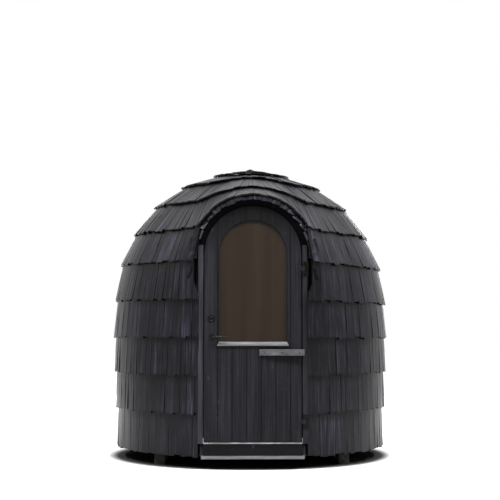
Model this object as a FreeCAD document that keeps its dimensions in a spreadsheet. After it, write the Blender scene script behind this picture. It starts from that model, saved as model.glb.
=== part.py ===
import FreeCAD, Part
import os
import re
import Sketcher

# Outdoor sauna: a round shingled cabin with an arched door under an eyebrow hood.
# Millimetres. The origin is on the dome's axis at the underside of the skids,
# +Z is up, the door faces -Y and +X is to the right of someone facing the door.

os.makedirs("parts", exist_ok=True)
doc = FreeCAD.newDocument("outdoor_sauna")

# Driving dimensions. The dome is a stack of shingle courses: each ring is the butt line
# of one course, set in from the dome's largest radius and at its height above the skids.
driving_sizes = {
    "skid_length": 1500,
    "skid_width": 80,
    "skid_height": 90,
    "skid_spread": 1440,
    "rim_height": 72,
    "rim_width": 140,
    "nose_reach": 280,
    "joist_width": 45,
    "joist_pitch": 450,
    "deck_thickness": 28,
    "dome_radius": 1150,
    "ring_inset_first": 35,
    "ring_inset_second": 21,
    "ring_inset_third": 8,
    "ring_inset_fifth": 9,
    "ring_inset_sixth": 50,
    "ring_inset_seventh": 158,
    "ring_inset_eighth": 330,
    "ring_inset_ninth": 557,
    "ring_inset_cap": 825,
    "ring_height_second": 320,
    "ring_height_third": 609,
    "ring_height_fourth": 895,
    "ring_height_fifth": 1183,
    "ring_height_sixth": 1474,
    "ring_height_seventh": 1736,
    "ring_height_eighth": 1973,
    "ring_height_ninth": 2149,
    "ring_height_cap": 2255,
    "peak_height": 2325,
    "shingle_thickness": 14,
    "wall_thickness": 70,
    "fit_gap": 0.3,
    "face_setback": 60,
    "frame_width": 58,
    "frame_reach": 420,
    "rebate_width": 20,
    "seal_gap": 5,
    "door_half_width": 372,
    "arch_height": 1430,
    "leaf_gap": 5,
    "board_thickness": 20,
    "board_pitch": 110.4,
    "first_groove": 267,
    "groove_width": 3,
    "groove_depth": 4,
    "window_half_width": 253.5,
    "window_bottom": 767,
    "bead_width": 8.5,
    "bead_recess": 4,
    "glass_thickness": 6,
    "drip_height": 32,
    "drip_depth": 14,
    "drip_overhang": 8,
    "batten_left": 49,
    "batten_right": 389,
    "batten_bottom": 662,
    "batten_height": 47,
    "batten_thin_end": 15,
    "batten_thick_end": 45,
    "threshold_height": 10,
    "sill_drop": 90,
    "sill_half_width": 376,
    "strip_height": 24,
    "strip_half_width": 390,
    "strip_depth": 40,
    "pin_distance": 386,
    "pin_standoff": 10,
    "pin_radius": 3,
    "pin_clearance": 0.1,
    "knuckle_radius": 8,
    "knuckle_gap": 0.5,
    "hinge_height": 108,
    "hinge_plate": 3,
    "hinge_upper": 1319,
    "hinge_lower": 165,
    "frame_plate_width": 30,
    "leaf_plate_width": 40,
    "rosette_depth": 8,
    "lock_radius": 29,
    "lock_left": 312,
    "lock_rise": 945,
    "lever_rosette_radius": 26,
    "lever_left": 305,
    "lever_rise": 804,
    "lever_radius": 8,
    "lever_reach": 38,
    "lever_length": 110,
    "spindle_radius": 5,
    "lever_bend": 16,
    "hinge_lap": 1,
    "hood_clearance": 4,
    "hood_drop": 20,
    "hood_thickness": 15,
    "hood_run": 400,
    "hood_back_radius": 755,
    "hood_lean": 29.7,
    "hood_line_run": 180,
    "hood_line_lean": 17.6,
    "cheek_height": 340,
    "cheek_foot_inset": 105,
    "cheek_foot_run": 245,
}

sheet = doc.addObject("Spreadsheet::Sheet", "sizes")
for row, (alias, value) in enumerate(driving_sizes.items(), start=1):
    sheet.set(f"A{row}", str(value))
    sheet.setAlias(f"A{row}", alias)
doc.recompute()

alias_pattern = re.compile(r"\b(" + "|".join(driving_sizes) + r")\b")

# Heights and places that several pieces share
floor_top = "(skid_height + rim_height + deck_thickness)"
arch_centre = f"({floor_top} + arch_height)"
springing_line = f"({arch_centre} - hood_drop)"
face_front = "(0 - dome_radius + face_setback)"
leaf_thickness = "(2 * board_thickness)"
leaf_back = f"({face_front} + {leaf_thickness})"
rebate_face = f"({leaf_back} + seal_gap)"
frame_outer = "(door_half_width + frame_width)"
frame_inner = "(door_half_width - rebate_width)"
opening_outer = f"({frame_outer} + fit_gap)"
leaf_half_width = "(door_half_width - leaf_gap)"
leaf_bottom = f"({floor_top} + threshold_height + leaf_gap)"
hole_half_width = "(window_half_width + bead_width)"
window_sill = f"({floor_top} + window_bottom)"
shell_depth = "(2 * shingle_thickness)"
inside_depth = f"({shell_depth} + wall_thickness)"
wall_foot_radius = f"(dome_radius - ring_inset_first - {inside_depth})"

# The rings from the skirt to the peak, as radius and height
rings = [("dome_radius - ring_inset_first", "0")]
for ring_name in ("second", "third", "fourth", "fifth", "sixth", "seventh", "eighth", "ninth", "cap"):
    ring_radius = "dome_radius" if ring_name == "fourth" else f"dome_radius - ring_inset_{ring_name}"
    rings.append((ring_radius, f"ring_height_{ring_name}"))
rings.append(("0", "peak_height"))
wall_top_ring = 5
peak_ring = len(rings) - 1


def full(expression):
    """Write the sheet's name before each of its aliases."""
    return alias_pattern.sub(r"sizes.\1", expression)


def number(expression):
    """The present value of an expression."""
    value = sheet.evalExpression(full(expression))
    return float(getattr(value, "Value", value))


def bind(target, size_name, expression):
    """Tie one property of an object to the sheet."""
    target.setExpression(size_name, full(expression))


def place(target, x="0", y="0", z="0"):
    """Tie an object's position to the sheet."""
    for axis, expression in (("x", x), ("y", y), ("z", z)):
        if expression != "0":
            bind(target, f"Placement.Base.{axis}", expression)


def ring_point(index, depth):
    """A point under a ring's butt line, at a depth square to the dome's surface."""
    radius, height = rings[index]
    if index == peak_ring:
        return "0", f"skid_height + {height} - {depth}"
    low_radius, low_height = rings[max(index - 1, 0)]
    high_radius, high_height = rings[index + 1]
    tilt = f"atan2({low_radius} - ({high_radius}); {high_height} - ({low_height}))"
    return f"{radius} - {depth} * cos({tilt})", f"skid_height + {height} - {depth} * sin({tilt})"


def new_sketch(body, plane_role, name, standoff=None):
    """A sketch on one of its body's own origin planes."""
    sketch = body.newObject("Sketcher::SketchObject", name)
    plane = next(item for item in body.Origin.OriginFeatures if item.Role == plane_role)
    sketch.AttachmentSupport = (plane, [""])
    sketch.MapMode = "FlatFace"
    if standoff:
        bind(sketch, "AttachmentOffset.Base.z", standoff)
    return sketch


def constrain(sketch, kind, *arguments):
    """Add one constraint, the last argument being its expression where it has a size."""
    if kind in ("DistanceX", "DistanceY", "Radius"):
        expression = arguments[-1]
        index = sketch.addConstraint(Sketcher.Constraint(kind, *arguments[:-1], number(expression)))
        bind(sketch, f"Constraints[{index}]", expression)
    else:
        sketch.addConstraint(Sketcher.Constraint(kind, *arguments))


def draw_polygon(sketch, points):
    """A closed outline whose corners are tied to the sheet."""
    corners = [FreeCAD.Vector(number(x), number(y), 0) for x, y in points]
    first = sketch.GeometryCount
    count = len(points)
    for index in range(count):
        sketch.addGeometry(Part.LineSegment(corners[index], corners[(index + 1) % count]))
    for index in range(count):
        constrain(sketch, "Coincident", first + index, 2, first + (index + 1) % count, 1)
    for index, (x, y) in enumerate(points):
        if x == "0":
            constrain(sketch, "PointOnObject", first + index, 1, -2)
        else:
            constrain(sketch, "DistanceX", -1, 1, first + index, 1, x)
        if y == "0":
            constrain(sketch, "PointOnObject", first + index, 1, -1)
        else:
            constrain(sketch, "DistanceY", -1, 1, first + index, 1, y)


def draw_half_arch(sketch, radius, centre):
    """The round top of an arch, with its ends level with its centre."""
    middle = FreeCAD.Vector(0, number(centre), 0)
    circle = Part.Circle(middle, FreeCAD.Vector(0, 0, 1), number(radius))
    arc = sketch.addGeometry(Part.ArcOfCircle(circle, 0, 3.141592653589793))
    constrain(sketch, "PointOnObject", arc, 3, -2)
    constrain(sketch, "DistanceY", -1, 1, arc, 3, centre)
    constrain(sketch, "Radius", arc, radius)
    constrain(sketch, "Horizontal", arc, 1, arc, 3)
    constrain(sketch, "Horizontal", arc, 2, arc, 3)
    return arc


def draw_line(sketch, x_start, y_start, x_end, y_end):
    """A straight side, placed roughly before its constraints hold it."""
    start = FreeCAD.Vector(x_start, y_start, 0)
    end = FreeCAD.Vector(x_end, y_end, 0)
    return sketch.addGeometry(Part.LineSegment(start, end))


def draw_arch(sketch, half_width, bottom, centre):
    """A closed round-headed outline: two posts, a sill and a half circle."""
    half, low, mid = number(half_width), number(bottom), number(centre)
    arc = draw_half_arch(sketch, half_width, centre)
    left = draw_line(sketch, -half, mid, -half, low)
    sill = draw_line(sketch, -half, low, half, low)
    right = draw_line(sketch, half, low, half, mid)
    for first, second in ((arc, left), (left, sill), (sill, right)):
        constrain(sketch, "Coincident", first, 2, second, 1)
    constrain(sketch, "Coincident", right, 2, arc, 1)
    for side in (left, right):
        constrain(sketch, "Vertical", side)
    constrain(sketch, "Horizontal", sill)
    constrain(sketch, "DistanceY", -1, 1, sill, 1, bottom)


def draw_vault(sketch, inner, outer):
    """A half ring standing on the sketch's level axis."""
    middle = FreeCAD.Vector(0, 0, 0)
    arcs = []
    for radius in (inner, outer):
        circle = Part.Circle(middle, FreeCAD.Vector(0, 0, 1), number(radius))
        arc = sketch.addGeometry(Part.ArcOfCircle(circle, 0, 3.141592653589793))
        constrain(sketch, "Coincident", arc, 3, -1, 1)
        constrain(sketch, "Radius", arc, radius)
        arcs.append(arc)
    for side, arc_end in ((1, 1), (-1, 2)):
        toe = draw_line(sketch, side * number(inner), 0, side * number(outer), 0)
        constrain(sketch, "Coincident", toe, 1, arcs[0], arc_end)
        constrain(sketch, "Coincident", toe, 2, arcs[1], arc_end)
        constrain(sketch, "PointOnObject", arcs[0], arc_end, -1)
        constrain(sketch, "PointOnObject", arcs[1], arc_end, -1)


def new_body(label):
    return doc.addObject("PartDesign::Body", label)


def pad(body, sketch, length, towards_back=False, both_sides=False):
    """Extrude a sketch, backwards into the cabin where that is asked for."""
    feature = body.newObject("PartDesign::Pad", f"{body.Name}_pad")
    feature.Profile = sketch
    feature.Reversed = towards_back
    feature.Midplane = both_sides
    bind(feature, "Length", length)
    return feature


def revolve(body, sketch, axis, angle=360):
    """Turn a sketch about one of its axes, evenly to both sides."""
    feature = body.newObject("PartDesign::Revolution", f"{body.Name}_turn")
    feature.Profile = sketch
    feature.ReferenceAxis = (sketch, [axis])
    feature.Midplane = angle < 360
    feature.Angle = angle
    return feature


def turned_piece(label, points, angle=360, middle_azimuth=0):
    """A piece turned about the dome's axis from a section in the vertical plane."""
    body = new_body(label)
    sketch = new_sketch(body, "XZ_Plane", f"{label}_section")
    draw_polygon(sketch, points)
    revolve(body, sketch, "V_Axis", angle)
    body.Placement = FreeCAD.Placement(
        FreeCAD.Vector(0, 0, 0), FreeCAD.Rotation(FreeCAD.Vector(0, 0, 1), middle_azimuth))
    return body


def block(label, x, y, z, length, width, height):
    """A rectangular piece from its lowest corner."""
    piece = doc.addObject("Part::Box", label)
    bind(piece, "Length", length)
    bind(piece, "Width", width)
    bind(piece, "Height", height)
    place(piece, x, y, z)
    return piece


def centred_block(label, y, z, half_width, width, height):
    """A rectangular piece centred left to right."""
    return block(label, f"0 - {half_width}", y, z, f"2 * {half_width}", width, height)


def rod(label, radius, length, axis, x="0", y="0", z="0"):
    """A round bar from its start, running along +X, +Y or +Z."""
    piece = doc.addObject("Part::Cylinder", label)
    turns = {"X": (FreeCAD.Vector(0, 1, 0), 90), "Y": (FreeCAD.Vector(1, 0, 0), -90), "Z": (FreeCAD.Vector(0, 0, 1), 0)}
    piece.Placement = FreeCAD.Placement(FreeCAD.Vector(0, 0, 0), FreeCAD.Rotation(*turns[axis]))
    bind(piece, "Radius", radius)
    bind(piece, "Height", length)
    place(piece, x, y, z)
    return piece


def ball(label, radius, x, y, z):
    piece = doc.addObject("Part::Sphere", label)
    bind(piece, "Radius", radius)
    place(piece, x, y, z)
    return piece


def cut(label, base, tool):
    piece = doc.addObject("Part::Cut", label)
    piece.Base = base
    piece.Tool = tool
    return piece


def common(label, base, tool):
    piece = doc.addObject("Part::Common", label)
    piece.Base = base
    piece.Tool = tool
    return piece


def fuse(label, pieces):
    piece = doc.addObject("Part::MultiFuse", label)
    piece.Shapes = pieces
    return piece


def group(label, pieces):
    """Like pieces that don't touch, kept as one sub-part."""
    piece = doc.addObject("Part::Compound", label)
    piece.Links = pieces
    return piece


def arch_panel(label, front, depth, half_width, bottom, hole=None, faces_inside=False):
    """A round-headed panel, with a round-headed hole where one is given."""
    body = new_body(label)
    sketch = new_sketch(body, "XZ_Plane", f"{label}_outline")
    draw_arch(sketch, half_width, bottom, arch_centre)
    if hole:
        draw_arch(sketch, hole[0], hole[1], arch_centre)
    pad(body, sketch, depth, towards_back=not faces_inside)
    place(body, y=front)
    return body


# The forms that trim other pieces

def make_frame_form():
    """The hole for the door frame, through every layer of the wall."""
    half_depth = "(2 * dome_radius)"
    return arch_panel("frame_form", f"0 - {half_depth}", half_depth, opening_outer, "0 - skid_height")


def make_inside_form():
    """The room's space, which trims the frame's back and the floor's edge."""
    points = [ring_point(index, inside_depth) for index in range(peak_ring + 1)]
    return turned_piece("inside_form", points + [("0", "0 - skid_height"), (points[0][0], "0 - skid_height")])


def make_outside_form():
    """The dome over its butt lines, which trims the back of the hood."""
    points = [ring_point(index, "0") for index in range(peak_ring + 1)]
    return turned_piece("outside_form", [("0", "skid_height")] + points)


frame_form = make_frame_form()
inside_form = make_inside_form()
outside_form = make_outside_form()
sub_parts = []


# Base: skids, rim, joists, deck and the sill under the door

def make_base():
    skids = []
    for side, sign in (("left", "0 - "), ("right", "")):
        middle = f"{sign}skid_spread / 2"
        skids.append(block(f"skid_{side}", f"{middle} - skid_width / 2", "0 - skid_length / 2", "0",
                           "skid_width", "skid_length", "skid_height"))
    sub_parts.append(group("skids", skids))

    rim_disc = rod("rim_disc", wall_foot_radius + " + wall_thickness", "rim_height", "Z", z="skid_height")
    rim_hole = rod("rim_hole", f"{wall_foot_radius} - rim_width", "rim_height", "Z", z="skid_height")
    rim_round = cut("rim_round", common("rim_trimmed", rim_disc, inside_form), rim_hole)
    rim_nose = centred_block("rim_nose", rebate_face, "skid_height", frame_outer, "nose_reach", "rim_height")
    sub_parts.append(fuse("floor_rim", [rim_round, rim_nose]))

    joists = []
    for index in range(3):
        middle = f"joist_pitch * {index - 1}"
        joists.append(centred_block(f"joist_{index + 1}", f"{middle} - joist_width / 2", "skid_height",
                                    wall_foot_radius, "joist_width", "rim_height"))
    joist_space = rod("joist_space", f"{wall_foot_radius} - rim_width", "rim_height", "Z", z="skid_height")
    sub_parts.append(common("floor_joists", group("joist_blanks", joists), joist_space))

    deck_level = "(skid_height + rim_height)"
    deck_disc = rod("deck_disc", wall_foot_radius + " + wall_thickness", "deck_thickness", "Z", z=deck_level)
    deck_round = common("deck_round", deck_disc, inside_form)
    deck_nose = centred_block("deck_nose", rebate_face, deck_level, frame_outer, "nose_reach", "deck_thickness")
    sub_parts.append(fuse("floor_deck", [deck_round, deck_nose]))

    sill_depth = f"({rebate_face} - {face_front})"
    sill_bottom = f"({floor_top} - sill_drop)"
    sub_parts.append(centred_block("sill_board", face_front, sill_bottom, "sill_half_width", sill_depth, "sill_drop"))
    sub_parts.append(centred_block("threshold_bar", face_front, floor_top, "door_half_width",
                                   sill_depth, "threshold_height"))
    sub_parts.append(centred_block("sill_strip", f"{face_front} - leaf_gap", f"{sill_bottom} - strip_height",
                                   "strip_half_width", "strip_depth", "strip_height"))


# Walls and roof: a rigid shell in segments, split beside and over the doorway

def shell_section(first, last):
    outside = [ring_point(index, shell_depth) for index in range(first, last + 1)]
    inside = [ring_point(index, inside_depth) for index in range(last, first - 1, -1)]
    return outside + inside


def make_shell():
    wall_section = shell_section(0, wall_top_ring)
    roof_section = shell_section(wall_top_ring, peak_ring)
    segment_angle = 60
    for side, first_middle, step in (("right", -60, 60), ("left", -120, -60)):
        for index, position in enumerate(("front", "side", "rear")):
            label = f"wall_{position}_{side}"
            blank_label = f"{label}_blank" if position == "front" else label
            blank = turned_piece(blank_label, wall_section, segment_angle, first_middle + index * step)
            sub_parts.append(cut(label, blank, frame_form) if position == "front" else blank)
    for position, middle in (("front", -90), ("right", 0), ("rear", 90), ("left", 180)):
        label = f"roof_{position}"
        blank_label = f"{label}_blank" if position == "front" else label
        blank = turned_piece(blank_label, roof_section, 90, middle)
        sub_parts.append(cut(label, blank, frame_form) if position == "front" else blank)


# Shingle courses: each band is two shingles thick at its butt and laps the one below

def make_courses():
    for index in range(peak_ring):
        label = f"shingle_course_{index + 1:02d}"
        lap = "shingle_thickness" if index + 1 < peak_ring else "0"
        section = [ring_point(index, shell_depth), ring_point(index, "0"),
                   ring_point(index + 1, lap), ring_point(index + 1, shell_depth)]
        if index <= wall_top_ring + 2:
            band = turned_piece(f"{label}_band", section)
            sub_parts.append(cut(label, band, frame_form))
        else:
            sub_parts.append(turned_piece(label, section))


# Door frame: a rebated section, straight in the jambs and turned for the head

def make_frame():
    frame_back = f"({face_front} + frame_reach)"
    outline = [("door_half_width", face_front), (frame_outer, face_front), (frame_outer, frame_back),
               (frame_inner, frame_back), (frame_inner, rebate_face), ("door_half_width", rebate_face)]
    for side, sign in (("left", "0 - "), ("right", "")):
        body = new_body(f"jamb_{side}_post")
        sketch = new_sketch(body, "XY_Plane", f"jamb_{side}_section")
        draw_polygon(sketch, [(f"{sign}{x}", y) for x, y in outline])
        pad(body, sketch, "arch_height")
        place(body, z=floor_top)
        sub_parts.append(cut(f"jamb_{side}", body, inside_form))
    body = new_body("frame_head_arch")
    sketch = new_sketch(body, "YZ_Plane", "frame_head_section")
    draw_polygon(sketch, [(y, x) for x, y in outline])
    revolve(body, sketch, "H_Axis", 180)
    place(body, z=arch_centre)
    sub_parts.append(cut("frame_head", body, inside_form))


# Hood: a flared vault between an upright half ring at the lip and a wider one that leans
# back into the dome, with two bands of shingles. A cheek on each side fairs its foot
# into the wall.

def lean_back(sketch, run, lean):
    """Stand a sketch on the hood's springing line, leaning back by an angle."""
    if lean != "0":
        sketch.AttachmentOffset = FreeCAD.Placement(
            FreeCAD.Vector(0, 0, 0), FreeCAD.Rotation(FreeCAD.Vector(-1, 0, 0), number(lean)))
        bind(sketch, "AttachmentOffset.Rotation.Angle", f"{lean} * 1 deg")
    bind(sketch, "AttachmentOffset.Base.y", springing_line)
    bind(sketch, "AttachmentOffset.Base.z", f"dome_radius - {run}")


def loft_between(body, label, first, second):
    loft = body.newObject("PartDesign::AdditiveLoft", f"{label}_loft")
    loft.Profile = first
    loft.Sections = [(second, [""])]
    loft.Ruled = True


def hood_layer(label, under, front_thickness, back_thickness):
    """One layer of the hood, over the thickness that lies under it."""
    body = new_body(f"{label}_vault")
    sections = []
    for end, radius, thickness in (("front", f"{frame_outer} + hood_clearance", front_thickness),
                                   ("back", "hood_back_radius", back_thickness)):
        sketch = new_sketch(body, "XZ_Plane", f"{label}_{end}", "dome_radius")
        lean_back(sketch, *(("0", "0") if end == "front" else ("hood_run", "hood_lean")))
        draw_vault(sketch, f"({radius} + {under})", f"({radius} + {under} + {thickness})")
        sections.append(sketch)
    loft_between(body, label, *sections)
    return cut(f"{label}_trimmed" if "band" in label else label, body, outside_form)


def make_line_form():
    """The space in front of the butt line between the hood's two bands."""
    body = new_body("hood_line_form")
    sketch = new_sketch(body, "XZ_Plane", "hood_line_plane", "dome_radius")
    lean_back(sketch, "hood_line_run", "hood_line_lean")
    corners = (("0 - dome_radius", "0 - dome_radius / 4"), ("dome_radius", "0 - dome_radius / 4"),
               ("dome_radius", "dome_radius"), ("0 - dome_radius", "dome_radius"))
    draw_polygon(sketch, list(corners))
    pad(body, sketch, "dome_radius")
    return body


def hood_cheek(label, sign):
    """A wedge from the hood's springing line down to where it dies into the wall."""
    body = new_body(f"{label}_wedge")
    thick = "(hood_thickness + 2 * shingle_thickness)"
    inner = f"({frame_outer} + hood_clearance)"
    sections = []
    for end, drop, front, back in (("top", "0", "0", "hood_run"),
                                   ("foot", "cheek_height", "cheek_foot_inset", "cheek_foot_run")):
        sketch = new_sketch(body, "XY_Plane", f"{label}_{end}", f"{springing_line} - {drop}")
        front_y, back_y = f"{front} - dome_radius", f"{back} + {front} - dome_radius"
        draw_polygon(sketch, [(f"{sign}{inner}", front_y), (f"{sign}({inner} + {thick})", front_y),
                              (f"{sign}(hood_back_radius + {thick})", back_y),
                              (f"{sign}hood_back_radius", back_y)])
        sections.append(sketch)
    loft_between(body, label, *sections)
    return cut(label, body, outside_form)


def make_hood():
    sub_parts.append(hood_layer("hood_arch", "0", "hood_thickness", "hood_thickness"))
    line_form = make_line_form()
    lip_band = hood_layer("lip_band", "hood_thickness", "2 * shingle_thickness", "fit_gap")
    sub_parts.append(common("hood_shingles_lip", lip_band, line_form))
    back_band = hood_layer("back_band", "hood_thickness", "3 * shingle_thickness", "shingle_thickness")
    sub_parts.append(cut("hood_shingles_back", back_band, line_form))
    for side, sign in (("left", "0 - "), ("right", "")):
        sub_parts.append(hood_cheek(f"hood_cheek_{side}", sign))


# Door leaf: two skins of vertical boards round an arched window

def board_skin(label, front, faces_inside):
    body = arch_panel(f"{label}_skin", front, "board_thickness", leaf_half_width, leaf_bottom,
                      hole=(hole_half_width, f"{window_sill} - bead_width"), faces_inside=faces_inside)
    sketch = new_sketch(body, "XZ_Plane", f"{label}_groove")
    left = "(0 - first_groove - groove_width / 2)"
    top = f"{arch_centre} + door_half_width"
    draw_polygon(sketch, [(left, floor_top), (f"{left} + groove_width", floor_top),
                          (f"{left} + groove_width", top), (left, top)])
    before = body.Tip
    groove = body.newObject("PartDesign::Pocket", f"{label}_first_groove")
    groove.Profile = sketch
    groove.Reversed = faces_inside
    bind(groove, "Length", "groove_depth")
    doc.recompute()
    if groove.Shape.Volume >= before.Shape.Volume:
        raise RuntimeError(f"{label}: the groove cuts nothing")
    pattern = body.newObject("PartDesign::LinearPattern", f"{label}_grooves")
    pattern.Originals = [groove]
    pattern.Direction = (sketch, ["H_Axis"])
    pattern.Occurrences = 6
    bind(pattern, "Length", f"board_pitch * {pattern.Occurrences - 1}")
    body.Tip = pattern
    bore = rod(f"{label}_spindle_bore", "spindle_radius + fit_gap", f"2 * {leaf_thickness}", "Y",
               "0 - lever_left", f"{face_front} - {leaf_thickness} / 2", f"{floor_top} + lever_rise")
    return cut(label, body, bore)


def make_door():
    sub_parts.append(board_skin("door_boards_outer", face_front, False))
    sub_parts.append(board_skin("door_boards_inner", leaf_back, True))
    bead_outer = f"({hole_half_width} - fit_gap)"
    bead_bottom = f"({window_sill} - bead_width + fit_gap)"
    glass_front = f"({face_front} + board_thickness - glass_thickness / 2)"
    glass_back = f"({glass_front} + glass_thickness)"
    hole = ("window_half_width", window_sill)
    sub_parts.append(arch_panel("window_glass", glass_front, "glass_thickness", bead_outer, bead_bottom))
    bead_front = f"({face_front} + bead_recess)"
    sub_parts.append(arch_panel("window_bead_outer", bead_front, f"{glass_front} - {bead_front}",
                                bead_outer, bead_bottom, hole))
    sub_parts.append(arch_panel("window_bead_inner", glass_back, f"{leaf_back} - {glass_back}",
                                bead_outer, bead_bottom, hole))

    body = new_body("window_drip_bead")
    sketch = new_sketch(body, "YZ_Plane", "drip_section")
    draw_polygon(sketch, [(face_front, window_sill), (face_front, f"{window_sill} - drip_height"),
                          (f"{face_front} - drip_depth", f"{window_sill} - drip_height"),
                          (f"{face_front} - drip_depth", f"{window_sill} - drip_height * 2 / 3")])
    pad(body, sketch, f"2 * ({hole_half_width} + drip_overhang)", both_sides=True)
    sub_parts.append(body)

    body = new_body("stop_batten")
    sketch = new_sketch(body, "XY_Plane", "batten_section")
    draw_polygon(sketch, [("batten_left", face_front), (leaf_half_width, face_front),
                          (leaf_half_width, f"{face_front} - leaf_gap"), ("batten_right", f"{face_front} - leaf_gap"),
                          ("batten_right", f"{face_front} - batten_thick_end"),
                          ("batten_left", f"{face_front} - batten_thin_end")])
    pad(body, sketch, "batten_height")
    place(body, z=f"{floor_top} + batten_bottom")
    sub_parts.append(body)


# Hinges: knuckles on a pin in front of the frame, a plate on each side

def make_hinges():
    pin_y = f"({face_front} - pin_standoff)"
    third = "(hinge_height / 3)"
    frame_sides, leaf_sides = [], []
    for name in ("upper", "lower"):
        bottom = f"({floor_top} + hinge_{name} - hinge_height / 2)"
        plate_y = f"({face_front} - hinge_plate)"
        pieces = [block(f"hinge_{name}_plate", "pin_distance + knuckle_radius - hinge_lap", plate_y, bottom,
                        "frame_plate_width", "hinge_plate", "hinge_height"),
                  rod(f"hinge_{name}_pin", "pin_radius", "hinge_height", "Z", "pin_distance", pin_y, bottom)]
        for index in (0, 2):
            start = f"{bottom} + {third} * {index}"
            pieces.append(rod(f"hinge_{name}_knuckle_{index}", "knuckle_radius", third, "Z",
                              "pin_distance", pin_y, start))
            pieces.append(block(f"hinge_{name}_tab_{index}", "pin_distance", plate_y, start,
                                "knuckle_radius", "hinge_plate", third))
        frame_sides.append(fuse(f"hinge_{name}_frame_side", pieces))

        knuckle_start = f"({bottom} + {third} + knuckle_gap)"
        knuckle_length = f"({third} - 2 * knuckle_gap)"
        knuckle = rod(f"hinge_{name}_leaf_knuckle", "knuckle_radius", knuckle_length, "Z",
                      "pin_distance", pin_y, knuckle_start)
        leaf_plate = block(f"hinge_{name}_leaf_plate", f"{leaf_half_width} - leaf_plate_width", plate_y,
                           bottom, "leaf_plate_width", "hinge_plate", "hinge_height")
        arm_y = f"({plate_y} - hinge_plate + hinge_lap)"
        arm_start = f"({leaf_half_width} - leaf_plate_width / 2)"
        arm = block(f"hinge_{name}_leaf_arm", arm_start, arm_y, knuckle_start,
                    f"pin_distance - {arm_start}", "hinge_plate", knuckle_length)
        bore = rod(f"hinge_{name}_leaf_bore", "pin_radius + pin_clearance", "hinge_height", "Z",
                   "pin_distance", pin_y, bottom)
        leaf_sides.append(cut(f"hinge_{name}_leaf_side", fuse(f"hinge_{name}_leaf_blank", [knuckle, leaf_plate, arm]),
                              bore))
    sub_parts.append(group("hinge_frame_plates", frame_sides))
    sub_parts.append(group("hinge_leaf_plates", leaf_sides))


# Lock and lever: a rosette and a lever on each face, joined by the spindle

def rosette(label, radius, x, y, z, bore):
    disc = rod(f"{label}_disc", radius, "rosette_depth", "Y", x, y, z)
    if not bore:
        return disc
    hole = rod(f"{label}_hole", bore, "3 * rosette_depth", "Y", x, f"{y} - rosette_depth", z)
    return cut(label, disc, hole)


def make_fittings():
    lock_z = f"({floor_top} + lock_rise)"
    lever_z = f"({floor_top} + lever_rise)"
    outer_y = f"({face_front} - rosette_depth)"
    sub_parts.append(group("lock_rosettes", [
        rosette("lock_rosette_outer", "lock_radius", "0 - lock_left", outer_y, lock_z, None),
        rosette("lock_rosette_inner", "lock_radius", "0 - lock_left", leaf_back, lock_z, None)]))
    neck_hole = "lever_radius + fit_gap"
    sub_parts.append(group("lever_rosettes", [
        rosette("lever_rosette_outer", "lever_rosette_radius", "0 - lever_left", outer_y, lever_z, neck_hole),
        rosette("lever_rosette_inner", "lever_rosette_radius", "0 - lever_left", leaf_back, lever_z, neck_hole)]))

    spindle = rod("spindle", "spindle_radius", f"lever_bend + {leaf_thickness} + fit_gap", "Y",
                  "0 - lever_left", f"{face_front} - lever_bend", lever_z)
    sub_parts.append(fuse("outside_lever", bent_bar("outside", face_front, lever_z, True) + [spindle]))
    sub_parts.append(fuse("inside_lever", bent_bar("inside", leaf_back, lever_z, False)))


def bent_bar(side, leaf_face, z, towards_front):
    """A round bar that leaves the leaf, bends a quarter turn and runs to the right."""
    sign = "-" if towards_front else "+"
    start = f"({leaf_face} {sign} fit_gap)"
    neck_length = "(lever_reach - lever_bend)"
    neck_y = f"{start} - {neck_length}" if towards_front else start
    neck = rod(f"{side}_neck", "lever_radius", neck_length, "Y", "0 - lever_left", neck_y, z)
    bend = doc.addObject("Part::Torus", f"{side}_bend")
    turn = 180 if towards_front else 90
    bend.Placement = FreeCAD.Placement(
        FreeCAD.Vector(0, 0, 0), FreeCAD.Rotation(FreeCAD.Vector(0, 0, 1), turn))
    bind(bend, "Radius1", "lever_bend")
    bind(bend, "Radius2", "lever_radius")
    bend.Angle3 = 90
    place(bend, "0 - lever_left + lever_bend", f"{start} {sign} {neck_length}", z)
    bar = rod(f"{side}_bar", "lever_radius", "lever_length - lever_bend", "X",
              "0 - lever_left + lever_bend", f"{start} {sign} lever_reach", z)
    return [neck, bend, bar]


make_base()
make_shell()
make_courses()
make_frame()
make_hood()
make_door()
make_hinges()
make_fittings()
doc.recompute()

# Nothing is written unless every object and every sub-part is sound
for item in doc.Objects:
    if "Invalid" in item.State or "Error" in item.State:
        raise RuntimeError(f"{item.Label} could not be built: {item.State}")
for item in sub_parts:
    if item.Shape.isNull() or not item.Shape.isValid() or not item.Shape.Solids:
        raise RuntimeError(f"{item.Label} is not a valid solid")

for item in sub_parts:
    item.Shape.exportStep(f"parts/{item.Label}.step")
print(f"{len(sub_parts)} sub-parts written")
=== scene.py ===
import bpy
import bmesh
import math
import random
from mathutils import Matrix, Vector
from mathutils.bvhtree import BVHTree


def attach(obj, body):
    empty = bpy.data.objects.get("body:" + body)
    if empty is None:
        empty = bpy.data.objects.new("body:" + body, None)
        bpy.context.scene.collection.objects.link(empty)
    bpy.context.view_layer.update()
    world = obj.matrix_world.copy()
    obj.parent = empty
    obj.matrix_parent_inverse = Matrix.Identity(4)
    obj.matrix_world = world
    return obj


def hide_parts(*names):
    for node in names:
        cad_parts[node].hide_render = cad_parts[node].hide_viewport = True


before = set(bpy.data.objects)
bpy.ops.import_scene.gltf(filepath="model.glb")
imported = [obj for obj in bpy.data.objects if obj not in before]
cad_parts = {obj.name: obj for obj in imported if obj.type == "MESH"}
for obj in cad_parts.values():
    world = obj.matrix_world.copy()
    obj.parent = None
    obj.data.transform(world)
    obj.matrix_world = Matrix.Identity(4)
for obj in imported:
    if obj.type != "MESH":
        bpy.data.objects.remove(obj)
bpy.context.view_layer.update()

scene = bpy.context.scene

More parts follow.
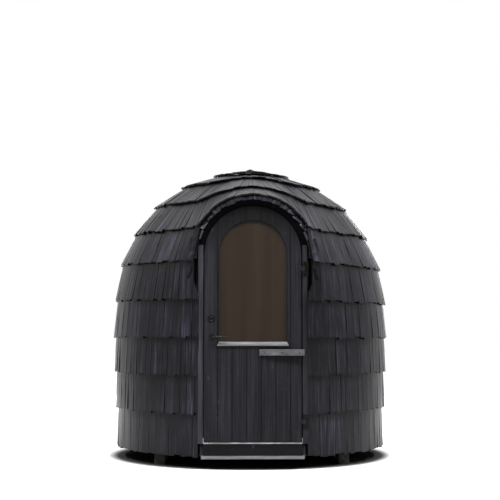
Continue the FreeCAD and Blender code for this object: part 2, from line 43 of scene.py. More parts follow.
# Outdoor sauna. Metres, the door faces -Y, the dome's axis stands on the origin.

photoView = {
    "place": (-0.19, -10.04, 1.07),
    "pitch": 3.72,  # degrees above the level
    "turn": -1.078,  # degrees round to the right
    "lens": 84.96,
    "sensor": 36,
}


def addObject(name, data):
    item = bpy.data.objects.new(name, data)
    scene.collection.objects.link(item)
    return item


def addCamera():
    data = bpy.data.cameras.new("photoCamera")
    data.lens = photoView["lens"]
    data.sensor_width = photoView["sensor"]
    camera = addObject("photoCamera", data)
    camera.location = photoView["place"]
    camera.rotation_euler = (math.radians(90 + photoView["pitch"]), 0,
                             math.radians(photoView["turn"]))
    scene.camera = camera


addCamera()
print("camera placed")


class Graph:
    # a node tree, with the patterns that the finishes and the studio share

    def __init__(self, tree):
        self.nodes = tree.nodes
        self.links = tree.links

    def feed(self, socket, value):
        # a socket takes another node's output or a value, and with None it stays as it is
        if hasattr(value, "is_linked"):
            self.links.new(value, socket)
        elif isinstance(value, tuple):
            socket.default_value = (*value, 1)[:len(socket.default_value)]
        elif value is not None:
            socket.default_value = value

    def add(self, kind, sockets, **properties):
        node = self.nodes.new("ShaderNode" + kind)
        for name, value in properties.items():
            setattr(node, name, value)
        for name, value in sockets.items():
            self.feed(node.inputs[name], value)
        return node

    def objectCoordinates(self):
        return self.add("TexCoord", {}).outputs["Object"]

    def attribute(self, name, output):
        return self.add("Attribute", {}, attribute_name=name).outputs[output]

    def stretched(self, scale, attribute=None):
        # object coordinates, or the ones that the mesh carries under a name
        source = self.attribute(attribute, "Vector") if attribute else self.objectCoordinates()
        return self.add("Mapping", {"Vector": source, "Scale": scale}).outputs["Vector"]

    def separate(self, source):
        return self.add("SeparateXYZ", {"Vector": source}).outputs

    def noise(self, scale, detail, roughness, distortion=0.0, attribute=None):
        sockets = {"Vector": self.stretched(scale, attribute), "Scale": 1.0, "Detail": detail,
                   "Roughness": roughness, "Distortion": distortion}
        return self.add("TexNoise", sockets).outputs["Fac"]

    def spots(self, scale):
        sockets = {"Vector": self.stretched(scale), "Scale": 1.0}
        return self.add("TexVoronoi", sockets).outputs["Distance"]

    def ramp(self, factor, stops):
        node = self.add("ValToRGB", {"Fac": factor})
        while len(node.color_ramp.elements) < len(stops):
            node.color_ramp.elements.new(0.5)
        for element, (position, colour) in zip(node.color_ramp.elements, stops):
            element.position = position
            element.color = (*colour, 1) if isinstance(colour, tuple) else (colour, colour, colour, 1)
        return node.outputs["Color"]

    def spread(self, factor, low, high, fromLow=0.0, fromHigh=1.0, kind="LINEAR"):
        sockets = {"Value": factor, "From Min": fromLow, "From Max": fromHigh, "To Min": low,
                   "To Max": high}
        return self.add("MapRange", sockets, interpolation_type=kind).outputs["Result"]

    def mix(self, factor, first, second, blend="MIX"):
        sockets = {0: factor, 6: first, 7: second}
        return self.add("Mix", sockets, data_type="RGBA", blend_type=blend).outputs[2]

    def times(self, first, second):
        return self.mix(1.0, first, second, "MULTIPLY")

    def maths(self, operation, first, second=0.0):
        return self.add("Math", {0: first, 1: second}, operation=operation).outputs[0]

    def vectorMaths(self, operation, *values):
        sockets = dict(enumerate(values))
        return self.add("VectorMath", sockets, operation=operation).outputs["Value"]

    def bump(self, height, strength, distance, before=None):
        sockets = {"Height": height, "Strength": strength, "Distance": distance, "Normal": before}
        return self.add("Bump", sockets).outputs["Normal"]

    def anyRay(self, *kinds):
        # 1 for a ray of any of these kinds, otherwise 0
        path = self.add("LightPath", {}).outputs
        result = path[kinds[0]]
        for kind in kinds[1:]:
            result = self.maths("MAXIMUM", result, path[kind])
        return result


class Look(Graph):
    # one material with its shader

    def __init__(self, name, specular, metallic=0.0):
        self.material = bpy.data.materials.new(name)
        self.material.use_nodes = True
        super().__init__(self.material.node_tree)
        self.shader = self.nodes["Principled BSDF"]
        self.set(("Specular IOR Level", specular), ("Metallic", metallic))

    def set(self, *values):
        for name, value in values:
            self.feed(self.shader.inputs[name], value)

    def finish(self, colour, roughness, normal=None):
        self.set(("Base Color", colour), ("Roughness", roughness), ("Normal", normal))
        return self.material


shakeColours = {
    "fineGrain": ((260, 6, 60), 5.0, 0.65),  # scale, detail, roughness, distortion
    "broadGrain": ((55, 2.2, 20), 4.0, 0.62, 0.4),
    "specks": ((110, 75, 60), 2.0, 0.6),
    "patches": ((5, 5, 5), 3.0, 0.5),
    "base": [(0.30, (0.0018, 0.0016, 0.0026)), (0.5, (0.0056, 0.0052, 0.0078)),
             (0.63, (0.0160, 0.0150, 0.0205)), (0.76, (0.036, 0.034, 0.043))],
    "streak": [(0.32, (0.35, 0.35, 0.37)), (0.52, 1.0), (0.72, 2.1)],
    "tone": [(0.0, 0.42), (0.5, 0.95), (1.0, (1.75, 1.72, 1.80))],  # from shake to shake
    "worn": [(0.35, 0.75), (0.65, 1.25)],
    "speck": (0.11, 0.11, 0.12),
    "speckShare": (0.0, 0.45, 0.70, 0.80),
    "paintedShade": [(0.0, 0.08), (0.018, 0.4), (0.045, 1.0), (0.76, 0.95), (0.90, 0.4), (0.95, 0.1),
                (1.0, 0.02)],  # painted shade: dark at the butt and under the next course's butts
    "fineBump": (0.6, 0.0011),
    "broadBump": (0.4, 0.0030),
    "roughness": (0.23, 0.38),
    "specular": 0.125,
}


def makeShakeStain():
    # split shakes: the grain runs along each one, the stain is thin on the ridges
    stain = shakeColours
    look = Look("shakeStain", stain["specular"])
    fine, broad, speck = (look.noise(*stain[kind], attribute="grain")
                          for kind in ("fineGrain", "broadGrain", "specks"))
    worn = look.noise(*stain["patches"])
    colour = look.times(look.ramp(broad, stain["base"]), look.ramp(fine, stain["streak"]))
    colour = look.times(colour, look.ramp(look.attribute("tone", "Fac"), stain["tone"]))
    colour = look.times(colour, look.ramp(worn, stain["worn"]))
    colour = look.mix(look.spread(speck, *stain["speckShare"]), colour, stain["speck"])
    # painted shade under the butts, along each shake's height
    colour = look.times(colour, look.ramp(look.attribute("height", "Fac"), stain["paintedShade"]))
    normal = look.bump(broad, *stain["broadBump"], look.bump(fine, *stain["fineBump"]))
    return look.finish(colour, look.spread(fine, *stain["roughness"]), normal)


boardColours = {
    "fineGrain": (3.5, 150, 5.0, 0.6),  # scale along and across the boards, then the same
    "broadGrain": (1.1, 22, 4.0, 0.55, 0.6),
    "knocks": ((40, 40, 26), 3.0, 0.6, 1.5),
    "knots": (9, 9, 5),
    "base": [(0.3, (0.0125, 0.0125, 0.0155)), (0.5, (0.020, 0.020, 0.0245)),
             (0.72, (0.034, 0.034, 0.040))],
    "streak": [(0.32, 0.6), (0.55, 1.0), (0.78, 1.45)],
    "knockShare": (0.0, 0.7, 0.66, 0.78),
    "knotShare": (0.4, 0.0, 0.04, 0.12),
    "markTint": (1.0, 1.0, 1.06),
    "bump": (0.35, 0.0006),
    "roughness": (0.45, 0.7),
}

boardJoints = {
    "first": -0.267,
    "pitch": 0.1104,
    "shade": 0.0055,  # the stain is thick this far from the middle of a joint
    "colour": (0.003, 0.003, 0.0035),
    "paintedShade": (1.62, 1.93),  # heights between which the painted shade of the hood deepens
    # how dark the painted shade of the hood makes the top of the leaf
    "paintedShadeTint": 0.22,
}


def tinted(colour, tint):
    return tuple(tint * value for value in colour)


def addJointsAndPaintedShade(look, colour):
    # dark joints between the boards of the leaf, and painted shade of the hood over its top
    along = look.separate(look.objectCoordinates())
    pitch = boardJoints["pitch"]
    across = look.maths("SUBTRACT", along["X"], boardJoints["first"] - 5.5 * pitch)
    part = look.maths("FRACT", look.maths("DIVIDE", across, pitch))
    away = look.maths("ABSOLUTE", look.maths("SUBTRACT", part, 0.5))
    reach = boardJoints["shade"] / pitch
    joint = look.spread(away, 0.9, 0.0, reach * 0.35, reach)
    # painted shade: the leaf darkens towards its top, under the hood
    shade = look.ramp(look.spread(along["Z"], 0.0, 1.0, *boardJoints["paintedShade"]),
                      [(0.0, 1.0), (1.0, boardJoints["paintedShadeTint"])])
    return look.times(look.mix(joint, colour, boardJoints["colour"]), shade)


def makeBoardStain(name, tint, along="z", specular=0.08, joints=False):
    # planed boards under black stain, pale where knots and knocks are
    stain = boardColours
    look = Look(name, specular)
    fine, broad = (look.noise(tuple(run if axis == along else across for axis in "xyz"), *rest)
                   for run, across, *rest in (stain["fineGrain"], stain["broadGrain"]))
    knock = look.noise(*stain["knocks"])
    knot = look.spots(stain["knots"])
    base = look.ramp(broad, [(place, tinted(colour, tint)) for place, colour in stain["base"]])
    colour = look.times(base, look.ramp(fine, stain["streak"]))
    mark = tinted(stain["markTint"], min(0.05 * tint + 0.03, 0.11))
    colour = look.mix(look.spread(knock, *stain["knockShare"]), colour, mark)
    colour = look.mix(look.spread(knot, *stain["knotShare"]), colour, mark)
    if joints:
        colour = addJointsAndPaintedShade(look, colour)
    normal = look.bump(fine, *stain["bump"])
    return look.finish(colour, look.spread(fine, *stain["roughness"]), normal)


liningColours = {
    "fineGrain": ((90, 90, 2.5), 5.0, 0.6),
    "broadGrain": ((9, 9, 0.8), 3.0, 0.5, 0.8),
    "base": [(0.3, (0.50, 0.33, 0.18)), (0.7, (0.66, 0.47, 0.29))],
    "streak": [(0.35, (0.78, 0.74, 0.70)), (0.6, 1.0)],
    "boardsRound": 68,
    "groove": (0.10, 0.06, 0.03),
    "grooveReach": (0.46, 0.5),  # from a board's middle, in its widths
    "grooveShare": 0.85,
    "grooveBump": (0.5, 0.003),
    "underlay": (0.004, 0.004, 0.0045),
    "outwards": 0.02,  # a face that looks outwards more than this is underlay
    "bump": (0.25, 0.0005),
    "roughness": 0.6,
    "specular": 0.12,
}


def makeLining(name, darkOutside=False, upwardShare=0.0):
    # softwood boards inside; a face that looks outwards is dark underlay
    wood = liningColours
    look = Look(name, wood["specular"])
    fine, broad = look.noise(*wood["fineGrain"]), look.noise(*wood["broadGrain"])
    colour = look.times(look.ramp(broad, wood["base"]), look.ramp(fine, wood["streak"]))
    normal = look.bump(fine, *wood["bump"])
    if not darkOutside:
        return look.finish(colour, wood["roughness"], normal)
    place = look.separate(look.objectCoordinates())
    angle = look.maths("ARCTAN2", place["Y"], place["X"])
    boards = look.maths("FRACT", look.maths("MULTIPLY", angle, wood["boardsRound"] / math.tau))
    joint = look.maths("ABSOLUTE", look.maths("SUBTRACT", boards, 0.5))
    board = look.spread(joint, 1.0, 0.0, *wood["grooveReach"])
    grooved = look.mix(look.spread(board, wood["grooveShare"], 0.0), colour, wood["groove"])
    level = look.add("CombineXYZ", {"X": place["X"], "Y": place["Y"]}).outputs["Vector"]
    faceNormal = look.add("NewGeometry", {}).outputs["True Normal"]
    facing = look.vectorMaths("DOT_PRODUCT", level, faceNormal)
    lifted = look.maths("MULTIPLY", look.separate(faceNormal)["Z"], upwardShare)
    outside = look.maths("GREATER_THAN", look.maths("ADD", facing, lifted), wood["outwards"])
    normal = look.bump(board, *wood["grooveBump"], normal)
    return look.finish(look.mix(outside, grooved, wood["underlay"]), wood["roughness"], normal)


paleGrain = {  # weathered wood with its grain along X
    "first": ((9, 60, 60), 3.0, 0.5, 0.4), "second": ((4, 160, 160), 5.0, 0.6),
    "streak": [(0.35, 0.6), (0.65, 1.1)], "bump": ("second", 0.3, 0.0005),
    "roughness": 0.7, "specular": 0.3,
}
blackCoat = {
    "first": ((30, 30, 30), 4.0, 0.6), "second": ((900, 900, 900), 2.0, 0.5),
    "base": [(0.4, (0.0025, 0.0025, 0.003)), (0.75, (0.009, 0.009, 0.010))],
    "bump": ("second", 0.12, 0.0002), "roughness": (0.2, 0.32),
}
plainFinishes = {
    "groundTimber": {
        "first": ((3, 3, 9), 4.0, 0.6), "second": ((60, 3, 60), 5.0, 0.6),
        "base": [(0.3, (0.022, 0.021, 0.020)), (0.7, (0.055, 0.052, 0.048))],
        "streak": [(0.35, 0.6), (0.65, 1.1)], "bump": ("second", 0.5, 0.001),
        "roughness": 0.85, "specular": 0.2,
    },
    "battenWood": {**paleGrain, "base": [(0.3, (0.057, 0.057, 0.061)), (0.7, (0.108, 0.107, 0.110))]},
    "stripWood": {**paleGrain, "base": [(0.3, (0.12, 0.12, 0.124)), (0.7, (0.21, 0.21, 0.215))]},
    "beadPaint": {**paleGrain, "base": [(0.3, (0.125, 0.125, 0.134)), (0.7, (0.172, 0.173, 0.184))]},
    "thresholdMetal": {
        "first": ((2.5, 200, 200), 4.0, 0.6), "second": ((14, 14, 14), 3.0, 0.6),
        "base": [(0.3, (0.20, 0.20, 0.205)), (0.7, (0.36, 0.36, 0.365))],
        "streak": [(0.35, 0.5), (0.6, 1.0)], "bump": ("first", 0.15, 0.0002),
        "roughness": (0.35, 0.5), "specular": 0.5, "metallic": 1.0,
    },
    "tintedGlass": {  # with faint upright folds behind it
        "first": ((11, 11, 0.5), 2.0, 0.5),
        "base": [(0.3, (0.0215, 0.0135, 0.0085)), (0.7, (0.0275, 0.0188, 0.0126))],
        "roughness": (0.05, 0.09), "specular": 0.12, "transmission": 0.12, "index": 1.45,
    },
    "blackMetal": {**blackCoat, "specular": 0.08},
    "handleMetal": {**blackCoat, "specular": 0.16},  # rubbed brighter by hands
}


def makePlain(name):
    # the first noise colours the surface, the second one streaks it
    style = plainFinishes[name]
    look = Look(name, style["specular"], style.get("metallic", 0.0))
    noises = {kind: look.noise(*style[kind]) for kind in ("first", "second") if kind in style}
    colour = look.ramp(noises["first"], style["base"])
    if "streak" in style:
        colour = look.times(colour, look.ramp(noises["second"], style["streak"]))
    roughness = style["roughness"]
    if isinstance(roughness, tuple):
        roughness = look.spread(noises["first"], *roughness)
    normal = None
    if "bump" in style:
        kind, strength, distance = style["bump"]
        normal = look.bump(noises[kind], strength, distance)
    look.set(("Transmission Weight", style.get("transmission")), ("IOR", style.get("index")))
    return look.finish(colour, roughness, normal)


boardFinishes = {
    "jambStain": {"tint": 1.75},
    "hingeJambStain": {"tint": 0.75},
    # the leaf's finish also carries the painted shade of the hood at its top
    "doorStainAndPaintedShade": {"tint": 0.66, "joints": True},
    "beadStain": {"tint": 0.45},
    "paintedPlate": {"tint": 0.6},
    # painted shade: the arch head's stain is darkened nearly to black, standing in for the hood's
    # shadow
    "headStainAndPaintedShade": {"along": "x", "tint": 0.15, "specular": 0.05},
    # painted shade: the boards under the hood are darkened nearly to black, standing in for its
    # shadow; the peak cap takes the same stain
    "hoodShadeAndPeakStain": {"along": "y", "tint": 0.12, "specular": 0.04},
    "sillStain": {"along": "x", "tint": 0.2},
}
linings = {
    "shellLining": {"darkOutside": True, "upwardShare": 0.3},
    "deckLining": {"darkOutside": True},
    "doorLining": {},
}
finishes = {
    "shakeStain": makeShakeStain(),
    **{name: makeBoardStain(name, **own) for name, own in boardFinishes.items()},
    **{name: makeLining(name, **own) for name, own in linings.items()},
    **{name: makePlain(name) for name in plainFinishes},
}
print("finishes mixed")

nodeFinishes = {
    "wall_": "shellLining", "roof_": "shellLining",
    "floor_deck": "deckLining", "floor_": "groundTimber", "skids": "groundTimber",
    "jamb_left": "jambStain", "jamb_right": "hingeJambStain", "frame_head": "headStainAndPaintedShade",
    "hood_": "hoodShadeAndPeakStain", "shingle_course": "shakeStain",
    "door_boards_inner": "doorLining", "door_boards_outer": "doorStainAndPaintedShade", "stop_batten": "battenWood",
    "window_bead_inner": "doorLining", "window_bead_outer": "beadStain",
    "window_drip_bead": "beadPaint", "window_glass": "tintedGlass",
    "sill_board": "sillStain", "threshold_bar": "thresholdMetal", "sill_strip": "stripWood",
    "hinge_frame_plates": "blackMetal", "hinge_leaf_plates": "paintedPlate",
    "lock_": "blackMetal", "lever_": "blackMetal",
    "outside_lever": "handleMetal", "inside_lever": "handleMetal",
}


def finishNodes():
    for name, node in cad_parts.items():
        kind = next(kind for start, kind in nodeFinishes.items() if name.startswith(start))
        finish = finishes[kind]
        for slot in node.material_slots:
            slot.material = finish
        if not node.material_slots:
            node.data.materials.append(finish)


finishNodes()
print("nodes finished")


def meshObject(mesh, name, material):
    data = bpy.data.meshes.new(name)
    mesh.to_mesh(data)
    mesh.free()
    data.materials.append(material)
    return addObject(name, data)


def keepPiece(mesh, name, finish, body, nodes=(), bevel=0.0, segments=2, angle=40):
    # turn a finished bmesh into a piece that rides on its body
    piece = meshObject(mesh, name, finishes[finish])
    if bevel:
        edges = piece.modifiers.new("softEdges", "BEVEL")
        edges.width = bevel
        edges.segments = segments
        edges.limit_method = "ANGLE"
        edges.angle_limit = math.radians(angle)
    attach(piece, body)
    if nodes:
        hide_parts(*nodes)


dome = {
    # butt lines of the courses from the skirt up: radius and height
    "rings": [(1.115, 0.090), (1.129, 0.410), (1.142, 0.699), (1.150, 0.985), (1.141, 1.273),
              (1.100, 1.564), (0.992, 1.826), (0.820, 2.063), (0.593, 2.239), (0.325, 2.345)],
    "peak": 2.415,
    "capRing": (0.170, 2.379),
    "doorEdge": 0.4175,  # the shakes stop here beside the frame
    "frontZone": 50,  # degrees either side of the door where the hood bends the courses
    "lipRadius": 0.477,
    "lipFace": -1.15,
    "springing": 1.60,
    "backRadius": 0.798,
    "backRun": 0.40,
    "backLean": 29.7,
    "cheekFoot": (0.466, -1.046, 1.26),
    "wingEdge": (0.458, -1.140, 1.564),  # front corners of the course beside the hood
    "kinkEdge": (0.414, -1.146, 1.826),
    "wedgeEdge": 0.455,  # a low shake beside the post leaves a dark wedge under the hood
    "wedgeTops": (1.320, 1.425),
    "sideStarts": (23.0, 20.6),  # degrees where two lines go on beside the hood
    "humps": ((0.117, 30), (0.058, 42)),  # rise over the hood, and its reach in degrees
    "humpPower": 1.3,
    "tip": (0.012, 2.411),  # where the last shakes end
    "lean": (0.008, 0.016),  # the upper courses sit a little to the right, and lower on that side
    "leanRun": (1.0, 1.4),  # from this height, over this much
    "dropRun": (0.9, 0.5),
    "lipSetback": (0.006, 0.030),  # of the hood's first butt line, at the flank and at the crown
    "lineSteps": 60,
    "stations": 64,
    "backSteps": 100,
}


def clamped(value):
    return min(max(value, 0), 1)


def hoodPoint(angle, fraction):
    # a point on the hood's outside, from its lip at 0 to where it leans into the dome at 1
    lip = dome["lipRadius"]
    back = dome["backRadius"]
    lean = math.radians(dome["backLean"])
    turn = math.radians(angle)
    front = Vector((lip * math.cos(turn), dome["lipFace"], lip * math.sin(turn)))
    rear = Vector((back * math.cos(turn),
                   dome["lipFace"] + dome["backRun"] + back * math.sin(turn) * math.sin(lean),
                   back * math.sin(turn) * math.cos(lean)))
    return front.lerp(rear, fraction) + Vector((0, 0, dome["springing"]))


def setBehind(angle, setback):
    # a point on the hood's outside, this far behind its lip
    lean = math.sin(math.radians(dome["backLean"])) * math.sin(math.radians(angle))
    return hoodPoint(angle, setback / (dome["backRun"] + dome["backRadius"] * lean))


def makeGuide():
    # a tight skin over the dome's butt lines and the hood's lip
    skin = bmesh.new()
    for radius, height in dome["rings"]:
        bmesh.ops.create_circle(skin, radius=radius, segments=180,
                                matrix=Matrix.Translation((0, 0, height)))
    skin.verts.new((0, 0, dome["peak"]))
    for angle in range(0, 181, 3):
        skin.verts.new(hoodPoint(angle, 0))
    footX, footY, footZ = dome["cheekFoot"]
    for side in (-1, 1):
        skin.verts.new((side * footX, footY, footZ))
    bmesh.ops.convex_hull(skin, input=skin.verts)
    tree = BVHTree.FromBMesh(skin)
    skin.free()
    return tree


guide = makeGuide()


def onRing(azimuth, radius, height):
    # round the axis by an azimuth, in degrees from the door towards +X
    turn = math.radians(azimuth)
    return Vector((radius * math.sin(turn), -radius * math.cos(turn), height))


def onGuide(azimuth, height):
    return guide.ray_cast(Vector((0, 0, height)), onRing(azimuth, 1, 0))[0]


def azimuthOf(point):
    return math.degrees(math.atan2(point.x, -point.y))


def runLengths(line):
    lengths = [0.0]
    for first, second in zip(line, line[1:]):
        lengths.append(lengths[-1] + (second - first).length)
    return lengths


def placeAt(lengths, distance):
    # the stretch of a line in which a distance falls, and how far along that stretch
    index = 0
    while index < len(lengths) - 2 and lengths[index + 1] < distance:
        index += 1
    span = lengths[index + 1] - lengths[index]
    return index, clamped((distance - lengths[index]) / span) if span > 0 else 0


def evenSteps(line, count):
    # resample a line into equal lengths
    lengths = runLengths(line)
    places = [placeAt(lengths, lengths[-1] * step / count) for step in range(count + 1)]
    return [line[index].lerp(line[index + 1], part) for index, part in places]


def buttLine(height, start=0, rise=0, reach=1):
    # from an azimuth to the end of the front zone, over the crown of the hood where it has a rise
    count = dome["lineSteps"]
    line = []
    for step in range(count + 1):
        azimuth = start + (dome["frontZone"] - start) * step / count
        swell = math.cos(math.pi / 2 * azimuth / reach) if azimuth < reach else 0
        line.append(onGuide(azimuth, height + rise * swell ** dome["humpPower"]))
    return line


def lipLine(lowest):
    # along the hood just behind its lip, from the crown down to a height
    flank, crown = dome["lipSetback"]
    line = []
    angle = 90.0
    while angle > 0:
        setback = flank + (crown - flank) * math.sin(math.radians(angle)) ** 2
        seed = setBehind(angle, setback)
        if seed.z < lowest:
            break
        line.append(guide.find_nearest(seed)[0])
        angle -= 1.5
    return line


def azimuthAt(across, height):
    # where the guide is this far to the side of the door's middle
    azimuth = 21.0
    for _ in range(6):
        point = onGuide(azimuth, height)
        azimuth = math.degrees(math.asin(across / math.hypot(point.x, point.y)))
    return azimuth


def makeLines():
    # front half of each butt line on the +X side, from the door or the crown back
    rings = dome["rings"]
    edge = dome["doorEdge"]
    lines = [buttLine(height, azimuthAt(edge, height)) for radius, height in rings[:5]]
    wingEdge = [Vector(dome["wingEdge"])]
    lines.append(wingEdge + buttLine(rings[5][1], dome["sideStarts"][0]))
    lipPart = lipLine(rings[6][1])
    lines.append(lipPart + buttLine(rings[6][1], azimuthOf(lipPart[-1]) + 0.3))
    for (radius, height), hump in zip(rings[7:9], dome["humps"]):
        lines.append(buttLine(height, 0, *hump))
    lines.append(buttLine(rings[9][1]))
    return lines


frontLines = makeLines()


def pairUp(butt, top, ringBelow, ringAbove):
    # matching points along two butt lines, from the front round to the back
    zone = dome["frontZone"]
    stations = dome["stations"]
    backSteps = dome["backSteps"]
    pairs = list(zip(evenSteps(butt, stations), evenSteps(top, stations)))
    for step in range(1, backSteps + 1):
        azimuth = zone + (180 - zone) * step / backSteps
        pairs.append((onRing(azimuth, *ringBelow), onRing(azimuth, *ringAbove)))
    return pairs


def makeCourses():
    rings = dome["rings"]
    cap = dome["capRing"]
    tip = dome["tip"]
    sets = []
    for index in range(9):
        butt, top = frontLines[index], frontLines[index + 1]
        if index == 4:  # starts beside the low shake
            butt = buttLine(rings[4][1], azimuthAt(dome["wedgeEdge"], rings[4][1]))
        if index == 5:  # ends at the hood's corner
            kinkEdge = [Vector(dome["kinkEdge"])]
            top = kinkEdge + buttLine(rings[6][1], dome["sideStarts"][1])
        sets.append(pairUp(butt, top, rings[index], rings[index + 1]))
    capLine = buttLine(cap[1])
    sets.append(pairUp(frontLines[9], capLine, rings[9], cap))
    tipLine = [onRing(azimuth, *tip) for azimuth in range(dome["frontZone"] + 1)]
    sets.append(pairUp(capLine, tipLine, cap, tip))
    return sets


courses = makeCourses()
print("courses set out")

shake = {
    "narrow": 0.030,
    "wide": 0.092,
    "butt": 0.014,  # thickness at the butt
    "thin": 0.004,  # and at the hidden end
    "lap": 0.022,  # length that runs on under the next course
    "lift": 0.0215,  # how deep the next course covers it, with a slot below its butts
    "depth": 0.0,  # below the dome's skin
    "jag": 0.0095,  # how uneven the butts are
    "jagOut": 1,  # share of it that may stand below the line
    "proud": 0.006,
    "twist": 0.0012,
    "bow": 0.0020,
    "cup": 0.0012,
    "toneSpread": 0.23,
    "louvre": 0,  # degrees that the shakes turn, each behind the one before
    "louvreRun": 1,
    "tuckMost": 0.015,
    "gaps": (0.0006, 0.001, 0.0016, 0.0018, 0.0046),
    "edgeRound": 0.0012,
}


def leaned(point):
    # the dome is built by hand: above the middle it leans by a finger's width
    shift, drop = dome["lean"]
    leanFrom, leanOver = dome["leanRun"]
    dropFrom, dropOver = dome["dropRun"]
    share = clamped((point.z - leanFrom) / leanOver)
    level = clamped((point.z - dropFrom) / dropOver)
    return point + Vector((shift * share, 0, -drop * point.x * level))


def addBlock(mesh, low=(0, 0, 0), high=(1, 1, 1)):
    low, high = Vector(low), Vector(high)
    size = Matrix.Diagonal((*map(abs, high - low), 1))
    bmesh.ops.create_cube(mesh, size=1.0, matrix=Matrix.Translation((low + high) / 2) @ size)


def shakeBlank():
    blank = bmesh.new()
    addBlock(blank)
    longEdges = [edge for edge in blank.edges if abs(edge.verts[0].co.y - edge.verts[1].co.y) > 0.5]
    bmesh.ops.subdivide_edges(blank, edges=longEdges, cuts=3)
    mesh = bpy.data.meshes.new("shakeBlank")
    blank.to_mesh(mesh)
    blank.free()
    return mesh


blankMesh = shakeBlank()


def pointAt(pairs, lengths, distance):
    index, part = placeAt(lengths, distance)
    return [first.lerp(second, part) for first, second in zip(pairs[index], pairs[index + 1])]


def layShake(mesh, layers, corners, chance, style, tuck=(0, 0)):
    # bend a unit block to its four corners: two on the butt line, two on the line above
    grain, tone, height = layers
    buttLeft, buttRight, topLeft, topRight = corners
    across = buttRight - buttLeft
    along = (topLeft + topRight) / 2 - (buttLeft + buttRight) / 2
    length = along.length
    outward = across.cross(along).normalized()
    lap = 1 + style["lap"] / length
    offset = Vector([chance.uniform(0, 9) for _ in range(3)])
    shade = clamped(chance.gauss(0.5, style["toneSpread"]))
    jagLeft = chance.uniform(-1, style["jagOut"]) * style["jag"]
    jagRight = jagLeft + chance.uniform(-0.55, 0.55 * style["jagOut"]) * style["jag"]
    proud = chance.uniform(0, 1) ** 2 * style["proud"]
    twist, bow, cup = (chance.uniform(-style[name], style[name]) for name in ("twist", "bow", "cup"))
    before = len(mesh.verts)
    mesh.from_mesh(blankMesh)
    mesh.verts.ensure_lookup_table()
    for vertex in mesh.verts[before:]:
        part, run, outer = vertex.co
        run = run * lap
        place = buttLeft.lerp(buttRight, part).lerp(topLeft.lerp(topRight, part), min(run, 1))
        if run > 1:
            place = place + along * (run - 1)
        jag = jagLeft + (jagRight - jagLeft) * part
        place = place - along.normalized() * jag * max(1 - run * 2, 0)
        down = (proud + twist * (2 * part - 1)) * (1 - run) + style["lift"] * run
        down += bow * math.sin(math.pi * min(run, 1))
        down += cup * (1 - (2 * part - 1) ** 2) * (1 - 0.5 * run)
        behind = (tuck[0] + (tuck[1] - tuck[0]) * part) * max(1 - run, 0)
        down = max(down, 0) + style["depth"] + behind
        thick = style["butt"] + (style["thin"] - style["butt"]) * min(run, 1)
        place = place - outward * (down + (1 - outer) * thick)
        vertex[grain] = offset + Vector((part * across.length, run * length, outer * thick))
        vertex[tone] = shade
        vertex[height] = run
        vertex.co = leaned(place)


def layHalf(mesh, layers, pairs, side, chance, style):
    # one side of a course, from the front to the back
    lengths = runLengths([butt for butt, top in pairs])
    total = lengths[-1]
    marks = [0.0]
    while marks[-1] < total - style["wide"]:
        marks.append(marks[-1] + chance.uniform(style["narrow"], style["wide"]))
    if total - marks[-1] < style["narrow"] * 0.6 and len(marks) > 1:
        marks.pop()
    marks.append(total)
    for start, end in zip(marks, marks[1:]):
        nearButt, nearTop = pointAt(pairs, lengths, start)
        farButt, farTop = pointAt(pairs, lengths, end)
        gap = chance.choice(style["gaps"])
        step = (farButt - nearButt).normalized() * gap * 0.5
        nearButt, farButt = nearButt + step, farButt - step
        if (farTop - nearTop).length > 4 * gap:
            step = (farTop - nearTop).normalized() * gap * 0.5
            nearTop, farTop = nearTop + step, farTop - step
        lean = math.radians(style["louvre"] * min(start / style["louvreRun"], 1))
        tuck = (min((end - start) * math.sin(lean), style["tuckMost"]), 0)
        if side > 0:
            layShake(mesh, layers, (nearButt, farButt, nearTop, farTop), chance, style, tuck)
        else:
            corners = [Vector((-point.x, point.y, point.z))
                       for point in (farButt, nearButt, farTop, nearTop)]
            layShake(mesh, layers, corners, chance, style, (0, tuck[0]))


def layCourse(name, seed, nodes, *rows):
    # each row is its pairs of points and what it has of its own
    chance = random.Random(seed)
    mesh = bmesh.new()
    layers = (mesh.verts.layers.float_vector.new("grain"), mesh.verts.layers.float.new("tone"),
              mesh.verts.layers.float.new("height"))
    for pairs, own in rows:
        style = {**shake, **own}
        for side in (1, -1):
            layHalf(mesh, layers, pairs, side, chance, style)
    bmesh.ops.recalc_face_normals(mesh, faces=mesh.faces)
    keepPiece(mesh, name, "shakeStain", "cabin", nodes, shake["edgeRound"], 1)


hoodLip = {
    "tipRadius": 0.429,  # the short shakes hang below the hood's edge
    "tipFace": -1.146,
    "cover": 0.045,
    "wingAngle": 27,  # below this the row tucks in behind the course beside it
    "wingTip": (0.445, -1.098, 1.43),
    "wingSteps": 8,
    "wingCovers": ((0.05, 0.03, 0.0), (0.014, 0.012, 0.0)),  # at its top and from its third step
    "soffitFront": 0.022,
    "soffitBack": (0.75, 0.13),  # fraction of the hood's depth, and how much less at the crown
}


# from the crown down to the springing
archAngles = [90 - 90 * step / dome["lineSteps"] for step in range(dome["lineSteps"] + 1)]


